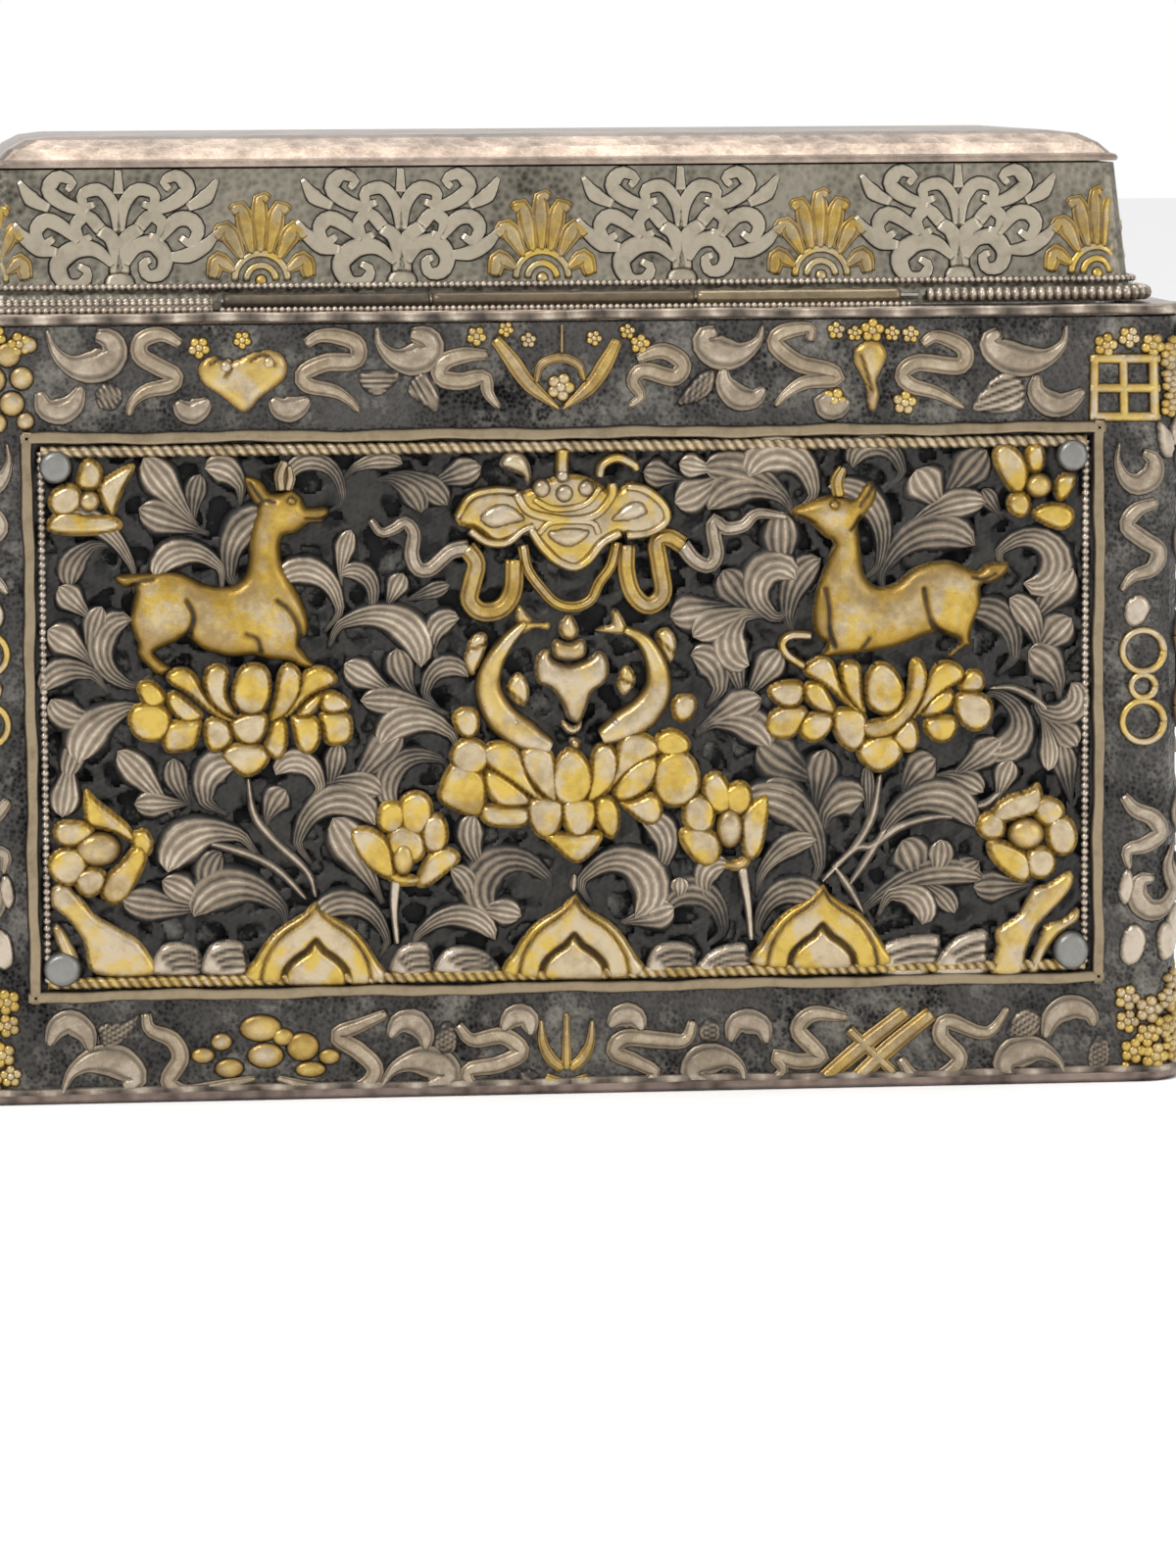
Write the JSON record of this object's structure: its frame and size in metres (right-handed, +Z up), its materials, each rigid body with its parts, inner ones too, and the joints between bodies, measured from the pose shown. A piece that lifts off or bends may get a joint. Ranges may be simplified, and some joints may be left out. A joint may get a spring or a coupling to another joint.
{
  "type": "betel box",
  "caption": "Rectangular silver betel box with openwork plaques in riveted frames, chased bands and an inset lid hinged along one long side.",
  "frame": {"origin": "centre of the bounding box, at the underside of the base plate", "axes": "+X to the right along the hinge side as pictured, -Y out of the hinge side towards the viewer, +Z up"},
  "size_m": [0.1954, 0.1154, 0.1464],
  "materials": {
    "silver": "worn warm silver, chased and darkened in the hollows",
    "bright_silver": "smooth pale silver",
    "grey_silver": "cool grey hammered silver",
    "parcel_gilt": "openwork silver with gilded motifs worn on the high points",
    "dark_silver": "plain darkened silver"
  },
  "bodies": {
    "body": {"hinge_side_plaque": "parcel_gilt", "hinge_side_frame": "silver", "hinge_side_border_wire": "silver", "hinge_side_rivet_top_left": "grey_silver", "hinge_side_rivet_top_right": "grey_silver", "hinge_side_rivet_bottom_left": "grey_silver", "hinge_side_rivet_bottom_right": "grey_silver", "right_end_plaque": "parcel_gilt", "right_end_frame": "silver", "right_end_border_wire": "silver", "right_end_rivet_top_left": "grey_silver", "right_end_rivet_top_right": "grey_silver", "right_end_rivet_bottom_left": "grey_silver", "right_end_rivet_bottom_right": "grey_silver", "far_side_plaque": "parcel_gilt", "far_side_frame": "silver", "far_side_border_wire": "silver", "far_side_rivet_top_left": "grey_silver", "far_side_rivet_top_right": "grey_silver", "far_side_rivet_bottom_left": "grey_silver", "far_side_rivet_bottom_right": "grey_silver", "left_end_plaque": "parcel_gilt", "left_end_frame": "silver", "left_end_border_wire": "silver", "left_end_rivet_top_left": "grey_silver", "left_end_rivet_top_right": "grey_silver", "left_end_rivet_bottom_left": "grey_silver", "left_end_rivet_bottom_right": "grey_silver", "body_wall": "silver", "mouth_rim": "silver", "hinge_knuckle_left": "silver", "hinge_knuckle_right": "silver", "inner_liner": "bright_silver", "base_plate": "dark_silver", "hinge_pin": "grey_silver"},
    "lid": {"lid_knuckle": "silver", "lid_wall": "silver", "lid_top": "silver", "lid_bezel": "bright_silver", "lid_bead_wire": "silver", "lid_fine_wire": "silver"}
  },
  "joints": [
    {"name": "lid_hinge", "type": "hinge", "parent": "body", "child": "lid", "pos_m": [0, -0.0505, 0.1215], "axis": [1, 0, 0], "range_deg": [0, 100]}
  ]
}
